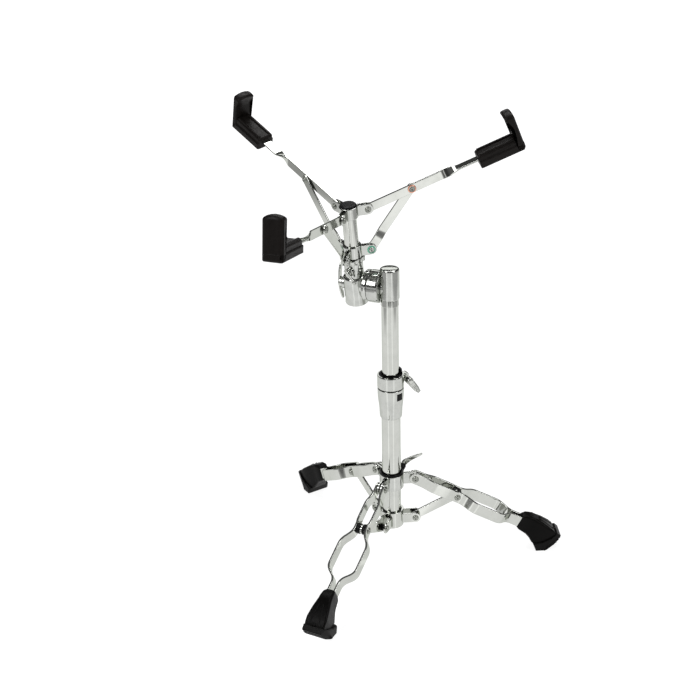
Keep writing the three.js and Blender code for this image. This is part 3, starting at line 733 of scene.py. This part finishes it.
# ------------------------------------------------------------------ tilter
def build_tilter():
    high = 425 - HINGE_Z
    low = 383 - HINGE_Z
    socket = lathe([(0, high), (6, high - 0.15), (10, high - 0.5), (11.6, high - 1), (12.3, high - 1.8),
                    (12.6, high - 3), (12.6, low + 1.2), (12.2, low + 0.3), (11.4, low),
                    (11.4, high - 4.7), (0, high - 4.7)], 80)
    neck = bar("x", 11.5, -9.7, 0, 64, 0.6)
    fine("tilter_head", socket + neck, HINGE @ shift(HEAD_REACH), "height_tube", CAST)
    stop_ring = lathe([(11.15, -23.4), (11.7, -23.4), (11.95, -22.9), (11.35, -15.2), (11.15, -14.8)], 80)
    piece("tube_stop_ring", stop_ring, HINGE @ shift(HEAD_REACH), "height_tube", CHROME)
    disc = lathe([(4.3, 21.6), (19.6, 21.6), (20.8, 22), (21.3, 23), (21.3, 34.4), (20.6, 36.2),
                  (18.6, 37), (6.8, 37), (6.8, 27.2), (4.3, 27.2)], 96, 0.3)
    disc_piece = fine("tilt_disc", disc.turned("Y", 90), HINGE, "height_tube", CAST)
    carve(disc_piece, bar("z", 12.9, -40, 40, 80, 0.1), HINGE @ shift(HEAD_REACH))
    bolt = lathe([(0, -21.4), (3.4, -21.4), (4, -20.8), (4, 27.5), (6.4, 27.5), (6.4, 33), (5.8, 33.5),
                  (0, 33.5)], 48)
    fine("tilt_bolt", bolt.turned("Y", 90), HINGE, "height_tube", CHROME)

    bowl = lathe([(0, -31), (14.3, -31), (15, -30.7), (15.2, -30.1), (14.45, -21.8), (14.8, -21.2),
                  (15, -14), (15.2, 5.8), (14.7, 7.4), (13.4, 8), (12.2, 8.4), (12.2, 27.8), (11.4, 29),
                  (9.5, 29), (9.5, 8.7), (0, 8.7)], 96)
    flange = lathe([(0, 15), (19.4, 15), (20.4, 15.5), (20.8, 16.4), (20.8, 20.2), (20.3, 21.2),
                    (0, 21.2)], 96)
    level = -POST_DATUM
    bosses = bar("x", 8, -16.6, -4, 48, 0.8).at(0, 0, level)
    bosses += bar("x", 12, 0, 16, 48, 0.8).at(0, 0, level)
    bosses += bar("y", 5.5, -17, -8, 40, 0.8).at(0, 0, 20)
    cup = bowl + flange.turned("Y", 90).at(0, 0, level) + bosses
    fine("tilt_cup", cup, LEAN, "tilt_holder", CAST)

    nut = lathe([(4.3, -22.2), (5.6, -22.2), (6.6, -21), (6.6, -17), (4.3, -17)], 40, 0.4)
    bow = soften([(-17.6, -22), (-20.4, -10), (-21.4, 2), (-21, 14), (-19.6, 26)], 8, False, 6)
    rows = []
    path = resample(bow, 2)
    for i, (x, z) in enumerate(path):
        a, b = Vector(path[max(i - 1, 0)]), Vector(path[min(i + 1, len(path) - 1)])
        run = (b - a).normalized()
        half = 4.4 * math.sqrt(max(1 - (abs(z - 2) / 25) ** 4, 0.05))
        rows.append([(x + run.y * u, v, z - run.x * u) for u, v in rounded_box(2.6, 2 * half, 1.1, 4)])
    fine("tilt_wing_nut", nut.turned("Y", 90) + skin(rows), HINGE, "tilt_nut", CHROME)

    at = LEAN @ shift(0, 0, 20) @ about("Y", 55)
    knob = lathe([(0, -3), (1.4, -2.7), (2.6, -1.6), (3, 0), (2.6, 1.6), (1.4, 2.7), (0, 3)], 24, 0.4)
    screw = bar("y", 2.6, -22, -10, 24) + bar("x", 2, -7, 12, 24).at(0, -20.4, 0)
    collar = bar("y", 3.6, -19.4, -17.4, 32, 0.4)
    fine("swivel_screw", screw + collar + knob.at(13, -20.4, 0), at, "swivel_lock", CHROME)


# ------------------------------------------------------------------ basket
def build_hubs():
    post = lathe([(0, 9), (8.6, 9), (9.2, 9.6), (9.2, 106.8), (8.8, 107.2), (0, 107.2)], 80)
    fine("basket_post", post, LEAN, "basket", CHROME)
    common = dict(reach=BASKET_REACH, round=7, inner=1.6, outer=3.6, bore=9.5)
    upper = eared_collar(BASKET.values(), LEAN, ear=UPPER_EARS, radius=11.8, bottom=91.5, top=107,
                         **common)
    fine("upper_hub", upper, LEAN, "basket", CAST)
    cap = lathe([(0, 107.5), (10.6, 107.5), (10.6, 108.2), (9.6, 109.3), (7.4, 109.7), (0, 109.4)], 64)
    fine("post_cap", cap, LEAN, "basket", NYLON)
    lower = eared_collar(BASKET.values(), LEAN, ear=LOWER_EARS, radius=12, bottom=36.2, top=52.5,
                         **common)
    for name in SIDES:
        angle = heading_angle(BASKET[name], LEAN)
        for side in (-1, 1):
            head = rivet_head(4, 1.4).turned("X", -90 * side)
            lower += head.at(BASKET_REACH, 3.6 * side, LOWER_EARS).turned("Z", angle)
    fine("lower_hub", lower, LEAN, "sliding_hub", CAST)
    nut = lathe([(9.5, 29.4), (12, 29.4), (12.4, 30), (12.4, 34.6), (12, 35.2), (9.5, 35.2)], 64)
    for k in range(4):
        nut += bar("z", 3.6, 29.4, 35.2, 28, 0.7).at(11.8, 0, 0).turned("Z", 20 + 90 * k)
    fine("adjust_nut", nut, LEAN, "grip_nut", CAST)


def arm():
    """A flat strap on edge at the hub that twists a quarter turn to lie flat in the cradle."""
    end, twist_from, twist_run = 194, 96, 28
    stations = round_end(6, 5, 13) + [0.5 + (end - 0.5) * k / 95 for k in range(96)]
    rows = []
    for s in stations:
        part = min(max((s - twist_from) / twist_run, 0), 1)
        twist = -math.pi / 2 * part * part * (3 - 2 * part)
        c, sn = math.cos(twist), math.sin(twist)
        section = rounded_box(2.5, 2 * half_width(6, -s), 0.8, 4)
        rows.append([(s, u * c - v * sn, u * sn + v * c) for u, v in section])
    return skin(rows) + bar("y", 2, 0, 5, 20, 0.1).at(ELBOW)


def cradle_plan(x, z, y):
    """Takes the corners off a cradle's outer end."""
    return min(x, 208.3 - max(y - 9, 0)), z


def cradle():
    """An L-shaped rubber cradle: a ribbed sleeve on the arm and an upright with a lip."""
    half = 13
    base = soften([(148.3, -9.4), (206, -9.4), (208.3, -7), (208.3, 1), (148.3, 1)], 1.5)
    sides = [(-half, 2), (-12.5, 0.9), (-11.2, 0.2), (-9, 0), (-4, 0)]
    block = across(base, sides + [(-y, pull) for y, pull in reversed(sides)], cradle_plan)
    ridge = soften([(148.3, -2), (201, -2), (201, 7.2), (150, 7.2), (148.3, 5.2)], 1.6)
    block += plate(ridge, -half + 1.8, half - 1.8, 2, 5)
    for side in (-1, 1):
        rail = soften([(150, 4), (198, 4), (198, 9.2), (151.8, 9.2)], 1.2)
        block += plate(rail, side * 7.6 - 1.7, side * 7.6 + 1.7, 1.1, 3)
    #   outline of the upright seen from the side
    side_view = [(196, -8), (206.2, -9.4), (208.3, -7), (207.3, 39.2), (205.8, 42.6), (203.4, 43.5),
                 (196.6, 43.5), (194.6, 42.2), (194.3, 40.2), (196.8, 34.5), (199.6, 25.5), (199.2, 12)]
    #        sideways, inset, how far the crown has fallen
    stations = [(-13, 2.2, 4.6), (-12.7, 1.3, 3.8), (-11.8, 0.5, 3), (-9.5, 0.1, 1.9), (-5, 0, 0.6),
                (0, 0, 0), (5, 0, 0.5), (9.5, 0.1, 1.6), (11.8, 0.5, 2.6), (12.7, 1.3, 3.4), (13, 2.2, 4.2)]
    outline = wound(soften(side_view, 2))
    rows = []
    for y, pull, drop in stations:
        row = []
        for x, z in inset(outline, pull):
            fall = drop * max(0.0, (z - 20) / 23.5)
            x, z = cradle_plan(x, z - fall, abs(y))
            row.append((x, y, z))
        rows.append(row)
    return block + skin(rows)


def strut():
    """A flat strut that steps sideways to enter the lower hub's ears."""
    line = soften([(-6, 2.8), (STRUT_LENGTH - 27, 2.8), (STRUT_LENGTH - 17, 0), (STRUT_LENGTH + 6, 0)], 4,
                  False, 6)
    stations = round_end(6, 4, 13)
    far = [STRUT_LENGTH - s for s in stations]
    middle = resample([p for p in line if 0.2 < p[0] < STRUT_LENGTH - 0.2], 4)
    path = [(s, 2.8) for s in stations] + middle + [(s, 0) for s in reversed(far)]

    def section(x):
        return rounded_box(2.5, 2 * half_width(6, max(-x, x - STRUT_LENGTH)), 0.8, 4)

    return ribbon(path, section)


def build_arms():
    for name in SIDES:
        body = f"basket_arm_{name}"
        fine(f"arm_{name}", arm(), ARM[name], body, CHROME)
        near = rivet_head(4.4, 1.5).turned("X", 90).at(ELBOW, -1.25, 0)
        far = rivet_head(4.4, 1.2).turned("X", -90).at(ELBOW, 4.5, 0)
        piece(f"elbow_rivet_{name}", near + far, ARM[name], body, PIN)
        fine(f"cradle_{name}", cradle(), ARM[name], body, RUBBER, 60)
        fine(f"strut_{name}", strut(), STRUT[name], f"basket_strut_{name}", CHROME)
        hub = ARM[name] @ about("Y", radians=ARM_RISE)
        fine(f"hub_rivet_{name}", rivet(3.9, 4, 1.4, 2), hub, "basket", PIN)
    washer = lathe([(4.1, 0), (5.4, 0), (5.4, 0.5), (5, 0.9), (4.1, 0.9)], 40).turned("X", 90)
    green = BASKET["right"] @ shift(BASKET_REACH, -3.7, LOWER_EARS)
    piece("green_washer", washer, green, "sliding_hub", GREEN)
    piece("copper_washer", washer, ARM["right"] @ shift(ELBOW, -1.3, 0), "basket_arm_right", COPPER)


# ------------------------------------------------------------------ studio
def build_floor():
    """A wide pale sweep that glows round the stand, with two brighter beams on the lens side."""
    mesh = bpy.data.meshes.new("floor")
    work = bmesh.new()
    bmesh.ops.create_grid(work, x_segments=2, y_segments=2, size=12)
    work.to_mesh(mesh)
    work.free()
    floor = add_object("floor", mesh)
    material = bpy.data.materials.new("pale_floor")
    material.use_nodes = True
    tree = material.node_tree
    surface = tree.nodes["Principled BSDF"]
    surface.inputs["Base Color"].default_value = (0.3, 0.3, 0.3, 1)
    surface.inputs["Roughness"].default_value = 0.9
    surface.inputs["Specular IOR Level"].default_value = 0.0
    surface.inputs["Emission Strength"].default_value = 1.0
    place = tree.nodes.new("ShaderNodeTexCoord")
    split = tree.nodes.new("ShaderNodeSeparateXYZ")
    tree.links.new(place.outputs["Object"], split.inputs["Vector"])

    def maths(kind, first, second=0.0):
        """A Math node; each input is a number or another node's output."""
        node = tree.nodes.new("ShaderNodeMath")
        node.operation = kind
        for socket, value in zip(node.inputs, (first, second)):
            if isinstance(value, (int, float)):
                socket.default_value = value
            else:
                tree.links.new(value, socket)
        return node.outputs["Value"]

    def fade(value, start, end, before, after):
        """Passes smoothly from one level to another between start and end."""
        node = tree.nodes.new("ShaderNodeMapRange")
        node.interpolation_type = "SMOOTHSTEP"
        levels = {"From Min": start, "From Max": end, "To Min": before, "To Max": after}
        for name, number in levels.items():
            node.inputs[name].default_value = number
        tree.links.new(value, node.inputs["Value"])
        return node.outputs["Result"]

    x, y = split.outputs["X"], split.outputs["Y"]
    wide = maths("SUBTRACT", maths("ABSOLUTE", x), maths("MULTIPLY", y, 0.35))
    sides = fade(wide, 0.78, 0.94, 0.88, 0.3)
    front = fade(y, -1.3, -1.0, 0.36, 1.0)
    back = fade(y, 0.6, 2.5, 1.0, 1.25)
    #   stripes and beams that run away from the stand, by their bearing in radians
    bearing = maths("ARCTAN2", x, maths("MULTIPLY", y, -1.0))
    stripes = []
    beams = []
    for centre in (-0.6, 0.44):
        off = maths("ABSOLUTE", maths("SUBTRACT", bearing, centre))
        stripes.append(fade(off, 0.04, 0.17, 1.32, 1.0))
        beams.append(fade(off, 0.05, 0.14, 1.2, 0.0))
    glow = tree.nodes.new("ShaderNodeCombineColor")
    level = maths("MULTIPLY", maths("MULTIPLY", sides, front), back)
    level = maths("MULTIPLY", level, maths("MULTIPLY", *stripes))
    level = maths("MAXIMUM", level, maths("MAXIMUM", *beams))
    for channel in ("Red", "Green", "Blue"):
        tree.links.new(level, glow.inputs[channel])
    tree.links.new(glow.outputs["Color"], surface.inputs["Emission Color"])
    mesh.materials.append(material)
    floor.location.z = -0.0004


def area_light(name, at, target, size, power):
    """A rectangular light at a point in metres, facing the target; power in watts."""
    data = bpy.data.lights.new(name, "AREA")
    data.shape = "RECTANGLE"
    data.size, data.size_y = size
    data.energy = power
    light = add_object(name, data)
    light.location = at
    aim = Vector(target) - Vector(at)
    light.rotation_euler = aim.to_track_quat("-Z", "Y").to_euler()


def build_lights():
    """A studio that is dark above the horizon, with four soft lights."""
    world = bpy.data.worlds.new("studio")
    bpy.context.scene.world = world
    world.use_nodes = True
    tree = world.node_tree
    back = tree.nodes["Background"]
    back.inputs["Strength"].default_value = 1.0
    place = tree.nodes.new("ShaderNodeTexCoord")
    split = tree.nodes.new("ShaderNodeSeparateXYZ")
    ramp = tree.nodes.new("ShaderNodeValToRGB")
    #        height of the direction, 0 straight down to 1 straight up; brightness
    stops = [(0.0, 0.3), (0.5, 0.8), (0.545, 0.6), (0.575, 0.06), (0.75, 0.05), (0.9, 0.12), (1.0, 0.16)]
    elements = ramp.color_ramp.elements
    for element, (position, level) in zip((elements[0], elements[1]), (stops[0], stops[-1])):
        element.position = position
        element.color = (level, level, level, 1)
    for position, level in stops[1:-1]:
        elements.new(position).color = (level, level, level, 1)
    lift = tree.nodes.new("ShaderNodeMapRange")
    lift.inputs["From Min"].default_value = -1
    lift.inputs["From Max"].default_value = 1
    tree.links.new(place.outputs["Generated"], split.inputs["Vector"])
    tree.links.new(split.outputs["Z"], lift.inputs["Value"])
    tree.links.new(lift.outputs["Result"], ramp.inputs["Fac"])
    tree.links.new(ramp.outputs["Color"], back.inputs["Color"])
    area_light("key", (-1.5, -1.5, 2.0), (0, 0, 0.3), (1.0, 1.4), 26)
    area_light("fill", (1.7, -1.1, 1.7), (0, 0, 0.3), (0.8, 1.4), 16)
    area_light("top", (0.0, 0.9, 2.3), (0, 0.1, 0.2), (1.6, 0.7), 22)
    area_light("back", (0.0, 2.2, 1.45), (0, 0, 0.42), (0.9, 0.5), 2.2)


def build_camera():
    """The camera stands in front of the column, a little above the basket, looking down."""
    pan, pitch, roll = -0.0341, 0.434, -0.0245
    ahead = Vector((math.sin(pan) * math.cos(pitch), math.cos(pan) * math.cos(pitch), -math.sin(pitch)))
    right = Vector((math.cos(pan), -math.sin(pan), 0))
    up = right.cross(ahead)
    x = right * math.cos(roll) + up * math.sin(roll)
    y = up * math.cos(roll) - right * math.sin(roll)
    data = bpy.data.cameras.new("camera")
    data.sensor_width = 36
    data.lens = 67.0
    camera = add_object("camera", data)
    camera.matrix_world = axes(STAND.translation + Vector((0, -1.538, 1.024)), x, y, -ahead)
    bpy.context.scene.camera = camera
    bpy.context.scene.view_settings.view_transform = "Standard"


build_camera()
build_lights()
build_floor()
build_column()
build_clamp()
build_leg_collar()
build_legs()
build_braces()
build_tilter()
build_hubs()
build_arms()
